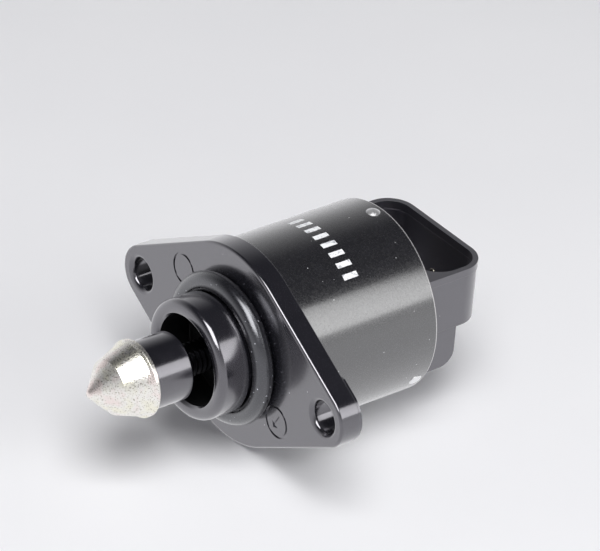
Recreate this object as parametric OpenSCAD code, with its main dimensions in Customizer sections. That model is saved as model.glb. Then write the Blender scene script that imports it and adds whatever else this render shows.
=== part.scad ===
// Idle air control valve: a stepper motor screws a conical plunger in and out of an air port.
// The origin is on the valve's axis at the flange's mounting face. +X runs from the cone
// towards the connector, +Y along the line of the two bolts and +Z out of the connector's mouth.

/* [Flange] */
// Thickness of the flange plate
flange_t = 4.1; // [3.6:0.1:5]
// Radius of the flange about the valve's axis
waist_r = 18.6; // [18.2:0.1:20]
// Radius of each ear about its bolt hole
ear_r = 5.3; // [5.1:0.1:6.5]
// Distance between the two bolt holes
bolt_spacing = 52.6; // [50:0.2:56]
// Diameter of the bolt holes
bolt_hole_d = 5.7; // [5.2:0.1:6.4]
// Rounding at the mouth of each bolt hole
hole_round = 0.45; // [0.3:0.05:0.5]
// Radius of the pad behind each ear
pad_r = 6.2; // [6:0.1:7]
// How far the pads stand in from the flange's outline
pad_step = 0.15; // [0.1:0.05:0.4]
// Height of the pad behind each ear
pad_h = 0.45; // [0.2:0.05:0.8]
// Radius of the two round mould marks on the front face
mark_r = 3; // [2.2:0.1:3.4]
// Distance of the mould marks from the axis
mark_pitch = 16.2; // [15.4:0.1:16.6]
// Angle of the line of mould marks above the line of bolts
mark_angle = 28.5; // [24:0.5:34]
// Width of the ring groove round a mould mark
mark_groove = 0.35; // [0.25:0.05:0.5]
// Depth of the mould marks
mark_depth = 0.15; // [0.1:0.05:0.3]
// Length of the arrow in one mould mark
arrow_len = 3.2; // [2.4:0.1:3.6]
// Width of the arrow's head
arrow_w = 1.7; // [1.2:0.1:2]
// Width of the arrow's shaft
arrow_shaft = 0.4; // [0.3:0.05:0.6]

/* [Collar] */
// Length of the collar in front of the flange
collar_len = 9.7; // [9:0.1:11]
// Radius of the collar
lip_r = 10.9; // [10.7:0.1:11.6]
// Rounding of the collar's outer front edge
lip_round = 1.3; // [0.8:0.1:1.6]
// Radius of the seat that carries the O-ring
seat_r = 10.2; // [9.8:0.1:10.5]
// Length of the O-ring's seat
seat_len = 3.9; // [3.8:0.1:4.6]
// Radius of the recess that the plunger draws back into
recess_r = 8.15; // [7.8:0.05:8.4]
// Depth of that recess
recess_depth = 7.1; // [6.8:0.1:7.4]
// Depth of the chamfer at the recess's mouth
mouth_depth = 0.65; // [0.4:0.05:0.9]
// How far that chamfer widens the mouth
mouth_grow = 0.45; // [0.2:0.05:0.6]
// Thickness of the wall that guides the lead screw
guide_t = 2; // [1.6:0.1:2.4]
// Section diameter of the O-ring
ring_d = 3.6; // [3.4:0.1:3.8]

/* [Motor can] */
// Outer diameter of the steel can
can_d = 35; // [34.6:0.1:36]
// Wall of the can
can_wall = 1; // [0.8:0.05:1.2]
// Chamfer on the can's rear edge
can_edge = 0.35; // [0.2:0.05:0.5]
// How far the can stands past the end cap's plug
rim_proud = 0.4; // [0.2:0.1:0.8]
// Length of the flange's spigot inside the can
spigot_len = 2.3; // [2.1:0.1:3]
// Section diameter of the two sealing rings inside the can
seal_d = 1.2; // [1:0.05:1.3]
// Number of rivets round the can
rivets = 3; // [2:1:6]
// Distance of the rivets from the can's rear edge
rivet_inset = 2.2; // [1.7:0.1:2.4]
// Diameter of a rivet's head
rivet_head_d = 2.5; // [2:0.1:2.9]
// Height of a rivet's head
rivet_head_h = 0.42; // [0.3:0.02:0.6]
// Length of the chamfer round a rivet's head
rivet_chamfer = 0.25; // [0.15:0.05:0.3]
// Diameter of a rivet's shank
rivet_shank_d = 1.5; // [1.2:0.1:1.7]
// Length of a rivet's shank
rivet_shank_l = 2.6; // [2:0.1:3]
// Radius of the dimple in a rivet's head
rivet_dimple = 0.45; // [0.3:0.05:0.5]

/* [Cone and plunger] */
// Distance from the flange's face to the back of the cone's rim
cone_reach = 19.5; // [18.5:0.1:21]
// Radius of the cone's rim
rim_r = 6.95; // [6.8:0.05:7.3]
// Width of the cone's rim
rim_w = 0.75; // [0.5:0.05:1]
// Length of the bevel in front of the rim
rim_bevel = 0.4; // [0.3:0.05:0.6]
// Radius where the long taper starts
taper_r = 6.55; // [6.4:0.05:6.7]
// Length of the long taper
taper_len = 4.65; // [4.2:0.05:5]
// Radius where the blunt point starts
point_r = 4.93; // [4.7:0.02:5.2]
// Half angle of the blunt point
point_angle = 45; // [42:0.5:50]
// Radius of the tip
tip_r = 1; // [0.6:0.1:1.3]
// Radius of the socket inside the cone
socket_r = 4.2; // [3.6:0.1:4.4]
// Depth of the socket inside the cone
socket_depth = 4.2; // [3.6:0.1:4.6]
// Radius of the plunger's skirt
skirt_r = 6.15; // [6:0.05:6.3]
// Length of the plunger's skirt
skirt_len = 7.6; // [6.4:0.1:7.7]
// Length of the chamfer on the skirt's rear edge
skirt_edge = 0.5; // [0.3:0.1:0.8]
// Depth of that chamfer
skirt_bevel = 0.3; // [0.2:0.05:0.5]
// Wall of the plunger's skirt
skirt_wall = 1.1; // [0.9:0.05:1.3]
// Thickness of the plunger's front wall
crown_t = 2; // [1.6:0.1:2.6]
// Radius of the plunger's inner boss
boss_r = 3.9; // [3.6:0.05:4.1]
// How far the boss stands out of the skirt
boss_out = 0.8; // [0.5:0.1:0.9]

/* [Lead screw] */
// Radius of the lead screw
screw_r = 3; // [2.8:0.05:3.1]
// Distance across the flats that stop the screw from turning
screw_flats = 4.8; // [4.4:0.1:5.2]
// Radius of the screw's front stub, which is moulded into the plunger
stub_r = 2.2; // [2:0.05:2.4]
// Length of that stub
stub_len = 6.6; // [6:0.1:7.5]
// How far the screw reaches behind the flange's face
screw_back = 14; // [12:0.5:14.5]

/* [Rotor] */
// Outer radius of the ring magnet
magnet_r = 8.6; // [8.3:0.05:8.9]
// Radial wall of the ring magnet
magnet_wall = 3.4; // [3.2:0.05:3.6]
// Air gap between magnet and poles
air_gap = 0.4; // [0.25:0.05:0.6]
// Clearance between each end of the magnet and the stack
magnet_inset = 1.2; // [1.1:0.1:2]
// Radius of the rear journal
journal_r = 2.5; // [2.2:0.05:2.7]
// Wall of the rear bush
bush_wall = 1.95; // [1.5:0.05:2.2]
// Length of the rear bush inside the end cap
bush_len = 2.7; // [2.2:0.1:2.8]
// Thickness of the rear bush's flange
bush_flange_t = 0.6; // [0.4:0.1:0.8]
// How far the rear bush's flange stands out
bush_flange = 1; // [0.6:0.1:1.4]
// Sheet thickness of the preload washer
washer_t = 0.3; // [0.2:0.05:0.4]

/* [Front bearing] */
// Bore radius of the ball bearing
bearing_bore_r = 4; // [3.9:0.05:4.1]
// Outer radius of the ball bearing
bearing_r = 8; // [7.9:0.05:8.2]
// Width of the ball bearing
bearing_w = 5; // [4.6:0.1:5.4]
// Radial wall of the bearing's rings
race_wall = 1.3; // [1.2:0.05:1.4]
// Diameter of the balls
ball_d = 2.3; // [2.2:0.05:2.4]
// Number of balls
balls = 9; // [7:1:10]
// Width of the bearing's cage
cage_w = 2.5; // [2.3:0.1:3]
// Thickness of the retainer behind the bearing
retainer_t = 0.5; // [0.4:0.1:0.8]
// Radius of the retainer
retainer_r = 9.6; // [9.2:0.1:10.4]

/* [Stator] */
// Axial room for one bobbin
bobbin_len = 8.3; // [8:0.1:9]
// Thickness of the pole sheets
pole_t = 1; // [0.8:0.05:1.1]
// Claws on each pole piece
claws = 6; // [4:1:6]
// Width of a claw at its root
claw_root = 3.9; // [3.4:0.1:4.1]
// Width of a claw at its tip
claw_tip = 2.2; // [1.8:0.1:2.8]
// Gap between a claw's tip and the opposite pole piece
claw_short = 0.8; // [0.5:0.1:1.5]
// Wall of the stator cups' rims
cup_wall = 0.9; // [0.7:0.05:1.1]
// Wall of the bobbins' tubes
bobbin_tube = 0.7; // [0.6:0.05:0.8]
// Thickness of the bobbins' flanges
bobbin_flange = 0.8; // [0.6:0.05:1]
// Outer radius of the windings
winding_r = 13.2; // [12.6:0.1:13.3]
// Diameter of the coils' pins
coil_pin_d = 0.6; // [0.5:0.05:0.7]
// Height of the row of coil pins below the axis
coil_pin_z = 12.2; // [12.1:0.1:12.4]

/* [End cap and connector] */
// Length of the end cap's plug inside the can
plug_len = 4.4; // [4.4:0.1:5]
// Distance from the plug's back to the outside of the shroud
shroud_len = 14.5; // [14:0.1:16]
// Width of the shroud
shroud_w = 26.8; // [26.4:0.1:27]
// Height of the shroud's mouth above the axis
mouth_z = 9.4; // [9:0.1:9.5]
// Depth of the shroud's underside below the axis
shroud_low = 2.1; // [1.9:0.1:2.6]
// Radius of the shroud's rear corners
shroud_corner = 5; // [4:0.1:6]
// Radius along the shroud's lower rear edge
shroud_under = 2; // [1:0.1:3]
// Wall of the shroud
shroud_wall = 0.85; // [0.7:0.05:1]
// Wall between the shroud's inside and the plug
front_wall = 2; // [1.4:0.1:2.4]
// Radius of the inside's front corners
inner_corner = 5.6; // [4.6:0.1:6]
// Thickness of the shroud's floor
floor_t = 1.5; // [1.2:0.1:1.8]
// Height of the lip round the mouth
lip_h = 1.5; // [1:0.1:2.5]
// How far the lip stands out
lip_out = 0.15; // [0.1:0.05:0.25]
// Length of the lower block
block_len = 8.8; // [8.6:0.1:10]
// Width of the lower block
block_w = 25.2; // [24:0.1:25.4]
// Depth of the lower block below the axis
block_low = 10.3; // [10:0.1:10.5]
// Radius along the lower block's rear edge
block_round = 3; // [2:0.1:4]
// Width of the latch wedge
latch_w = 6; // [4:0.5:9]
// How far the latch wedge stands out
latch_out = 1.4; // [0.8:0.1:1.8]
// Height of the latch wedge
latch_h = 3.4; // [2.5:0.1:4]
// Height of the wedge's upright face
latch_face = 0.85; // [0.5:0.05:1.2]
// How far the wedge's top edge stands out
latch_lead = 0.35; // [0.2:0.05:0.5]
// Distance of the latch wedge below the lip
latch_drop = 0.8; // [0.4:0.1:1.4]
// Width of the two keying ribs in the mouth
key_w = 1.2; // [0.8:0.1:1.6]
// How far the keying ribs stand out
key_out = 0.8; // [0.5:0.1:1]
// Distance between the keying ribs
key_pitch = 17; // [16:0.5:17.5]
// Distance between terminals
pin_pitch = 4.4; // [4.2:0.1:4.5]
// Distance from the plug's back to the terminals
pin_x = 7.4; // [7:0.1:7.8]
// Width of a terminal
pin_w = 1.5; // [1.2:0.1:1.7]
// Thickness of a terminal
pin_t = 0.64; // [0.5:0.02:0.8]
// Height of a terminal above the shroud's floor
pin_h = 7; // [5:0.1:8]
// Length of a terminal's pointed end
pin_point = 0.8; // [0.5:0.1:1.2]
// Width and thickness of a terminal's end, as a share of the blade's
pin_end = 0.45; // [0.3:0.05:0.7]
// Depth of a terminal's foot below the axis
foot_z = 8.6; // [8:0.1:8.9]
// Distance from the stator to the terminals' leaves
leaf_x = 1; // [0.8:0.1:1.4]

/* [Hidden] */
$fn = 96;

// Clearance between pieces that are fitted and stay put
fit_gap = 0.05;
// Radial clearance where one piece turns or slides in another
run_gap = 0.05;
// Clearance between a part and the cut that is made for it
cut_gap = 0.02;
// How far the flange's straight edges lie inside the tangent, so that they cut the round ends
edge_gap = 0.01;
// How much of the plug stays in front of the rear seal's groove
seal_inset = 0.3;
// Room round the coils' pins for their insulation where they pass a sheet
pin_room = 0.3;
// Overshoot of a cut past the face that it opens
past = 1;

// Stations along the axis
stack_x0 = flange_t + spigot_len;
half_len = bobbin_len + 2 * pole_t;
stack_mid = stack_x0 + half_len;
stack_x1 = stack_mid + half_len;
cap_x = stack_x1 + plug_len;
can_x1 = cap_x + rim_proud;
recess_x = recess_depth - collar_len;
bearing_x1 = stack_x0 - retainer_t;
bearing_x0 = bearing_x1 - bearing_w;
bearing_x = bearing_x1 - bearing_w / 2;
shroud_x1 = cap_x + shroud_len;
terminal_x = cap_x + pin_x;

// Radii
can_r = can_d / 2;
can_in = can_r - can_wall;
plug_r = can_in - fit_gap;
cup_in = plug_r - cup_wall;
pole_in = magnet_r + air_gap;
pole_out = pole_in + pole_t;
bobbin_in = pole_out + fit_gap;
bobbin_out = bobbin_in + bobbin_tube;
bobbin_edge = cup_in - 2 * fit_gap;
magnet_in = magnet_r - magnet_wall;
hub_r = magnet_in - cut_gap;
bush_r = journal_r + run_gap + bush_wall;
ball_r = ball_d / 2;
ball_pitch = (bearing_bore_r + bearing_r) / 2;

// Flange outline: the straight edges touch the waist and the ears at this angle
bolt_c = bolt_spacing / 2;
edge_angle = acos((waist_r - ear_r) / bolt_c);
edge_len = bolt_c * sin(edge_angle);
edge_n = waist_r - edge_gap;

// Turns a profile of [radius, x] points about the valve's axis
module turned() {
    rotate([0, 90, 0]) rotate_extrude() children();
}

// Extrudes an outline that is drawn in Y and Z along the axis from x
module across(x, len) {
    translate([x, 0, 0]) rotate([90, 0, 90]) linear_extrude(len) children();
}

// A ring between two radii, from x0 to x1
module ring(r0, r1, x0, x1) {
    turned() translate([r0, x0]) square([r1 - r0, x1 - x0]);
}

// A round rod or hole along the axis, from x0 to x1
module rod(r, x0, x1) {
    translate([x0, 0, 0]) rotate([0, 90, 0]) cylinder(r = r, h = x1 - x0);
}

// Point of the flange at a distance along and across one of its straight edges
function edge_point(side, mirrored, n, s) = [
    side * (n * cos(edge_angle) + s * sin(edge_angle)),
    mirrored * (n * sin(edge_angle) - s * cos(edge_angle))];

// The flange's outline from x0 to x1, drawn in all round by a distance
module flange_plate(x0, x1, inset) {
    n = edge_n - inset;
    rod(waist_r - inset, x0, x1);
    for (side = [-1, 1]) translate([0, side * bolt_c, 0]) rod(ear_r - inset, x0, x1);
    across(x0, x1 - x0) polygon([
        edge_point(1, 1, n, 0), edge_point(1, 1, n, edge_len),
        edge_point(1, -1, n, edge_len), edge_point(1, -1, n, 0),
        edge_point(-1, -1, n, 0), edge_point(-1, -1, n, edge_len),
        edge_point(-1, 1, n, edge_len), edge_point(-1, 1, n, 0)]);
}

// A rod whose radius changes evenly from r0 at x0 to r1 at x1
module tapered_rod(r0, r1, x0, x1) {
    translate([x0, 0, 0]) rotate([0, 90, 0]) cylinder(r1 = r0, r2 = r1, h = x1 - x0);
}

module collar_shape() {
    lip_x = lip_round - collar_len;
    turned() {
        polygon([
            [0, 0], [seat_r, 0], [seat_r, -seat_len], [lip_r, -seat_len],
            [lip_r, lip_x], [lip_r - lip_round, lip_x],
            [lip_r - lip_round, -collar_len], [0, -collar_len]]);
        translate([lip_r - lip_round, lip_x]) circle(lip_round);
    }
}

// Outline of the screw with its two flats, grown by a clearance
module screw_section(gap) {
    intersection() {
        circle(screw_r + gap);
        square([2 * (screw_r + past), screw_flats + 2 * gap], center = true);
    }
}

module bolt_hole() {
    rod(bolt_hole_d / 2, -past, flange_t + pad_h + past);
    turned() difference() {
        translate([0, -past]) square([bolt_hole_d / 2 + hole_round, past + hole_round]);
        translate([bolt_hole_d / 2 + hole_round, hole_round]) circle(hole_round);
    }
}

// The seal's groove: a square cut into the outside of a plug
module seal_groove(x) {
    ring(can_in - seal_d, can_in + past, x - seal_d / 2 - fit_gap, x + seal_d / 2 + fit_gap);
}

module seal_ring(x) {
    turned() translate([can_in - seal_d / 2, x]) circle(seal_d / 2 - cut_gap);
}

module mould_marks() {
    for (turn = [0, 180]) rotate([turn + mark_angle, 0, 0]) translate([0, mark_pitch, 0])
        ring(mark_r - mark_groove, mark_r, -past, mark_depth);
    rotate([mark_angle + 180, 0, 0]) translate([0, mark_pitch, 0])
        across(-past, past + mark_depth) arrow();
}

// A plain arrow whose head is as long as half its width
module arrow() {
    head_y = arrow_len / 2 - arrow_w / 2;
    translate([-arrow_shaft / 2, -arrow_len / 2]) square([arrow_shaft, arrow_len - arrow_w / 4]);
    polygon([[-arrow_w / 2, head_y], [arrow_w / 2, head_y], [0, arrow_len / 2]]);
}

front_seal_x = flange_t + spigot_len / 2;
rear_seal_x = stack_x1 + seal_d / 2 + seal_inset;

module flange_body() {
    color("#1b1b1e") difference() {
        union() {
            flange_plate(0, flange_t, 0);
            collar_shape();
            rod(plug_r, flange_t / 2, stack_x0);
            intersection() {
                flange_plate(flange_t / 2, flange_t + pad_h, pad_step);
                difference() {
                    for (side = [-1, 1]) translate([0, side * bolt_c, 0])
                        rod(pad_r, flange_t / 2 - past, flange_t + pad_h + past);
                    rod(can_r + fit_gap, flange_t / 2 - past, flange_t + pad_h + past);
                }
            }
        }
        for (side = [-1, 1]) translate([0, side * bolt_c, 0]) bolt_hole();
        rod(recess_r, -collar_len - past, recess_x);
        tapered_rod(recess_r + mouth_grow, recess_r, -collar_len, mouth_depth - collar_len);
        across(recess_x - past, guide_t + 2 * past) screw_section(run_gap);
        rod(bearing_r - race_wall + fit_gap, recess_x + guide_t, bearing_x0 + past);
        rod(bearing_r + cut_gap, bearing_x0, stack_x0 + past);
        rod(retainer_r + cut_gap, bearing_x1, stack_x0 + past);
        seal_groove(front_seal_x);
        mould_marks();
    }
}

module o_ring() {
    color("#151517") turned()
        translate([seat_r + ring_d / 2 + cut_gap, -ring_d / 2 - cut_gap]) circle(ring_d / 2);
}

rivet_x = can_x1 - rivet_inset;
rivet_seat = sqrt(can_r * can_r - rivet_head_d * rivet_head_d / 4);

// Shank and lower head of a rivet along +Z, whose head sits in a flat on the can's surface
module rivet_fit(gap, head_h) {
    translate([0, 0, rivet_seat - rivet_shank_l])
        cylinder(d = rivet_shank_d + 2 * gap, h = rivet_shank_l + gap);
    translate([0, 0, rivet_seat - gap]) cylinder(d = rivet_head_d + 2 * gap, h = head_h + gap);
}

module rivet() {
    edge_h = can_r - rivet_seat + rivet_head_h - rivet_chamfer;
    difference() {
        union() {
            rivet_fit(0, edge_h);
            translate([0, 0, rivet_seat + edge_h])
                cylinder(d1 = rivet_head_d, d2 = rivet_head_d - 2 * rivet_chamfer, h = rivet_chamfer);
        }
        translate([0, 0, can_r + rivet_head_h]) sphere(rivet_dimple);
    }
}

module rivet_places() {
    for (k = [0:rivets - 1]) rotate([k * 360 / rivets, 0, 0]) translate([rivet_x, 0, 0]) children();
}

module can_rivets() {
    color("#d4d4d6") rivet_places() rivet();
}

module motor_can() {
    color("#202024") difference() {
        turned() polygon([
            [can_in, flange_t], [can_r, flange_t], [can_r, can_x1 - can_edge],
            [can_r - can_edge, can_x1], [can_in, can_x1]]);
        rivet_places() rivet_fit(cut_gap, past);
    }
}

module valve_cone() {
    rim_x0 = -cone_reach - rim_w;
    taper_x0 = rim_x0 - rim_bevel;
    point_x0 = taper_x0 - taper_len;
    tip_x = point_x0 - (point_r * cos(point_angle) - tip_r) / sin(point_angle);
    tip_steps = 6;
    color("#cfcab8") difference() {
        turned() polygon(concat(
            [[0, -cone_reach], [rim_r, -cone_reach], [rim_r, rim_x0], [taper_r, taper_x0],
                [point_r, point_x0]],
            [for (k = [0:tip_steps]) let (a = point_angle + k * (90 - point_angle) / tip_steps)
                [tip_r * cos(a), tip_x - tip_r * sin(a)]]));
        rod(socket_r, -cone_reach - socket_depth, -cone_reach + past);
    }
}

skirt_x1 = skirt_len - cone_reach;
boss_x1 = skirt_x1 + boss_out;

module plunger() {
    color("#17171a") difference() {
        union() {
            rod(socket_r - cut_gap, -cone_reach - socket_depth + fit_gap, -cone_reach + crown_t);
            rod(skirt_r, -cone_reach + cut_gap, skirt_x1 - skirt_edge);
            tapered_rod(skirt_r, skirt_r - skirt_bevel, skirt_x1 - skirt_edge, skirt_x1);
            rod(boss_r, -cone_reach + crown_t, boss_x1);
        }
        ring(boss_r, skirt_r - skirt_wall, -cone_reach + crown_t, skirt_x1 + past);
        rod(stub_r + cut_gap, boss_x1 - stub_len, boss_x1 + past);
    }
}

module lead_screw() {
    color("#77777a") {
        across(boss_x1 + cut_gap, screw_back - boss_x1) screw_section(0);
        rod(stub_r, boss_x1 - stub_len + cut_gap, boss_x1 + past);
    }
}

module bearing_ring(r0, r1) {
    color("#b9bbc0") difference() {
        ring(r0, r1, bearing_x0 + cut_gap, bearing_x1 - cut_gap);
        turned() translate([ball_pitch, bearing_x]) circle(ball_r + run_gap);
    }
}

module bearing_outer_ring() {
    bearing_ring(bearing_r - race_wall, bearing_r);
}

module bearing_inner_ring() {
    bearing_ring(bearing_bore_r, bearing_bore_r + race_wall);
}

module ball_places() {
    for (k = [0:balls - 1]) rotate([k * 360 / balls, 0, 0])
        translate([bearing_x, 0, ball_pitch]) children();
}

module bearing_balls() {
    color("#dcdde0") ball_places() sphere(ball_r);
}

module bearing_cage() {
    gap = (bearing_r - bearing_bore_r - 2 * race_wall) / 2;
    color("#b08a3c") difference() {
        ring(ball_pitch - gap / 2, ball_pitch + gap / 2, bearing_x - cage_w / 2,
            bearing_x + cage_w / 2);
        ball_places() sphere(ball_r + cut_gap);
    }
}

module bearing_retainer() {
    color("#8f9196") ring(bearing_r - race_wall + fit_gap, retainer_r, bearing_x1, stack_x0 - cut_gap);
}

magnet_x0 = stack_x0 + magnet_inset;
magnet_x1 = stack_x1 - magnet_inset - pole_t;
hub_x0 = bearing_x0 - 2 * fit_gap;
hub_bore_x1 = magnet_x1 - 2 * pole_t;
journal_x1 = stack_x1 + bush_len - 2 * fit_gap;

module rotor_hub() {
    color("#e4dfce") difference() {
        union() {
            rod(bearing_bore_r - cut_gap, hub_x0, bearing_x1);
            rod(bearing_bore_r + race_wall / 2, bearing_x1, magnet_x0);
            rod(hub_r, magnet_x0, magnet_x1);
            rod(journal_r, magnet_x1 - past, journal_x1);
        }
        rod(screw_r + run_gap, hub_x0 - past, hub_bore_x1);
    }
}

module rotor_magnet() {
    color("#3a3a3e") ring(magnet_in, magnet_r, magnet_x0, magnet_x1);
}

module rear_bush() {
    color("#9a6a3a") difference() {
        union() {
            rod(bush_r, stack_x1 - bush_flange_t, stack_x1 + bush_len);
            rod(bush_r + bush_flange, stack_x1 - bush_flange_t, stack_x1 - cut_gap);
        }
        rod(journal_r + run_gap, stack_x1 - past - bush_flange_t, stack_x1 + bush_len + past);
    }
}

module preload_washer() {
    x0 = magnet_x1 + fit_gap;
    x1 = stack_x1 - bush_flange_t - fit_gap;
    r0 = journal_r + 3 * run_gap;
    r1 = bush_r;
    color("#a8aab0") turned()
        polygon([[r0, x0], [r0 + washer_t, x0], [r1, x1 - washer_t], [r1, x1], [r1 - washer_t, x1],
            [r0, x0 + washer_t]]);
}

// One pole piece: a sheet disc whose claws are bent along the axis towards +X from x = 0
module pole_piece(outer_r, rim_len) {
    claw_len = half_len - pole_t - claw_short;
    difference() {
        union() {
            ring(pole_in, outer_r, 0, pole_t);
            if (rim_len > 0) ring(outer_r - cup_wall, outer_r, 0, rim_len);
            intersection() {
                ring(pole_in, pole_out, 0, claw_len);
                union() for (k = [0:claws - 1]) rotate([k * 360 / claws, 0, 0])
                    translate([0, 0, pole_in - past]) linear_extrude(2 * past + pole_t)
                        polygon([[0, -claw_root / 2], [claw_len, -claw_tip / 2],
                            [claw_len, claw_tip / 2], [0, claw_root / 2]]);
            }
        }
        children();
    }
}

module pin_rods(which, gap, x0, x1) {
    for (side = [-1, 1]) translate([0, side * pin_pitch * (which - 0.5), -coil_pin_z])
        rod(coil_pin_d / 2 + gap, x0, x1);
}

leaf_x0 = stack_x1 + leaf_x;

module stator_cup_front() {
    color("#8d8f94") translate([stack_x0, 0, 0]) pole_piece(plug_r, half_len - cut_gap);
}

module stator_plate_front() {
    color("#8d8f94") translate([stack_mid - cut_gap, 0, 0]) mirror([1, 0, 0])
        rotate([180 / claws, 0, 0]) pole_piece(cup_in - cut_gap, 0)
            rotate([-180 / claws, 0, 0]) pin_rods(2, pin_room, -past, pole_t + past);
}

module stator_plate_rear() {
    color("#8d8f94") translate([stack_mid, 0, 0]) pole_piece(cup_in - cut_gap, 0)
        pin_rods(2, pin_room, -past, pole_t + past);
}

module stator_cup_rear() {
    color("#8d8f94") translate([stack_x1 - cut_gap, 0, 0]) mirror([1, 0, 0])
        rotate([180 / claws, 0, 0]) pole_piece(plug_r, half_len - 2 * cut_gap)
            rotate([-180 / claws, 0, 0]) {
                pin_rods(1, pin_room, -past, pole_t + past);
                pin_rods(2, pin_room, -past, pole_t + past);
            }
}

module bobbin(x0) {
    x1 = x0 + bobbin_len - 2 * fit_gap;
    color("#c9c4b2") difference() {
        union() {
            ring(bobbin_in, bobbin_out, x0, x1);
            ring(bobbin_in, bobbin_edge, x0, x0 + bobbin_flange);
            ring(bobbin_in, bobbin_edge, x1 - bobbin_flange, x1);
        }
        children();
    }
}

bobbin_x0 = stack_x0 + pole_t + fit_gap;
bobbin_x1 = stack_mid + pole_t + fit_gap;

module bobbin_front() {
    bobbin(bobbin_x0)
        pin_rods(2, cut_gap, bobbin_x0 + bobbin_len / 2, stack_mid);
}

module bobbin_rear() {
    bobbin(bobbin_x1) {
        pin_rods(2, cut_gap, stack_mid, stack_x1);
        pin_rods(1, cut_gap, bobbin_x1 + bobbin_len / 2, stack_x1);
    }
}

module winding(x0) {
    color("#a5552b") ring(bobbin_out + cut_gap, winding_r, x0 + bobbin_flange + cut_gap,
        x0 + bobbin_len - 2 * fit_gap - bobbin_flange - cut_gap);
}

module winding_front() {
    winding(bobbin_x0);
}

module winding_rear() {
    winding(bobbin_x1);
}

module coil_pins_front() {
    color("#c8c9cc") pin_rods(2, 0, stack_mid - pole_t - fit_gap - bobbin_flange, leaf_x0 - cut_gap);
}

module coil_pins_rear() {
    color("#c8c9cc") pin_rods(1, 0, stack_x1 - pole_t - fit_gap - bobbin_flange, leaf_x0 - cut_gap);
}

floor_z = floor_t - shroud_low;
leaf_low = coil_pin_z + coil_pin_d;

// Side view of a terminal in X and Z: blade, foot and leaf from one bent strip
module terminal_profile(gap) {
    blade_x = terminal_x - pin_t / 2;
    translate([blade_x - gap, -foot_z - pin_t / 2 - gap])
        square([pin_t + 2 * gap, foot_z + pin_t / 2 + floor_z + pin_h - pin_point + gap]);
    translate([leaf_x0 - gap, -foot_z - pin_t / 2 - gap])
        square([blade_x + pin_t - leaf_x0 + 2 * gap, pin_t + 2 * gap]);
    translate([leaf_x0 - gap, -leaf_low])
        square([pin_t + 2 * gap, leaf_low - foot_z + pin_t / 2 + gap]);
}

module terminal(k) {
    color("#cdb988") translate([0, (k - 2.5) * pin_pitch + pin_w / 2, 0]) {
        rotate([90, 0, 0]) linear_extrude(pin_w) terminal_profile(0);
        translate([terminal_x, -pin_w / 2, floor_z + pin_h - pin_point])
            intersection() {
                linear_extrude(pin_point) square([pin_t, pin_w], center = true);
                rotate([90, 0, 0]) linear_extrude(pin_w, center = true) polygon([
                    [-pin_t / 2, 0], [pin_t / 2, 0],
                    [pin_end * pin_t / 2, pin_point], [-pin_end * pin_t / 2, pin_point]]);
                rotate([90, 0, 90]) linear_extrude(pin_t, center = true) polygon([
                    [-pin_w / 2, 0], [pin_w / 2, 0],
                    [pin_end * pin_w / 2, pin_point], [-pin_end * pin_w / 2, pin_point]]);
            }
    }
}

module terminal_1() {
    terminal(1);
}

module terminal_2() {
    terminal(2);
}

module terminal_3() {
    terminal(3);
}

module terminal_4() {
    terminal(4);
}

// Rectangle in X and Y that is centred on Y, with round corners at its two ends
module rounded_plan(x0, x1, width, r0, r1) {
    square_w = width - 2 * max(r0, r1);
    translate([x0, -square_w / 2]) square([x1 - x0, square_w]);
    translate([x0 + r0, -width / 2]) square([x1 - x0 - r0 - r1, width]);
    for (side = [-1, 1]) {
        if (r0 > 0) translate([x0 + r0, side * (width / 2 - r0)]) circle(r0);
        translate([x1 - r1, side * (width / 2 - r1)]) circle(r1);
    }
    if (r0 < r1) translate([x0, r0 - width / 2]) square([x1 - r1 - x0, width - 2 * r0]);
    if (r1 < r0) translate([x0 + r0, r1 - width / 2]) square([x1 - x0 - r0, width - 2 * r1]);
}

// Side view in X and Z of a block whose lower rear edge is rounded
module side_view(x0, x1, z0, z1, r) {
    translate([x0, z0]) square([x1 - x0 - r, z1 - z0]);
    translate([x0, z0 + r]) square([x1 - x0, z1 - z0 - r]);
    translate([x1 - r, z0 + r]) circle(r);
}

module shroud() {
    intersection() {
        translate([0, 0, -shroud_low]) linear_extrude(mouth_z + shroud_low)
            rounded_plan(cap_x - plug_len / 2, shroud_x1 - lip_out, shroud_w - 2 * lip_out, 0,
                shroud_corner);
        rotate([90, 0, 0]) linear_extrude(shroud_w, center = true)
            side_view(cap_x - plug_len / 2, shroud_x1 - lip_out, -shroud_low, mouth_z, shroud_under);
    }
    translate([0, 0, mouth_z - lip_h]) linear_extrude(lip_h)
        rounded_plan(cap_x, shroud_x1, shroud_w, 0, shroud_corner + lip_out);
}

module latch_wedge() {
    top_z = mouth_z - lip_h - latch_drop;
    wedge_x = shroud_x1 - lip_out - shroud_wall / 2;
    out_x = shroud_x1 - lip_out + latch_out;
    translate([0, latch_w / 2, 0]) rotate([90, 0, 0]) linear_extrude(latch_w) polygon([
        [wedge_x, top_z], [shroud_x1 - lip_out + latch_lead, top_z],
        [out_x, top_z - latch_h + latch_face], [out_x, top_z - latch_h], [wedge_x, top_z - latch_h]]);
}

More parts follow.
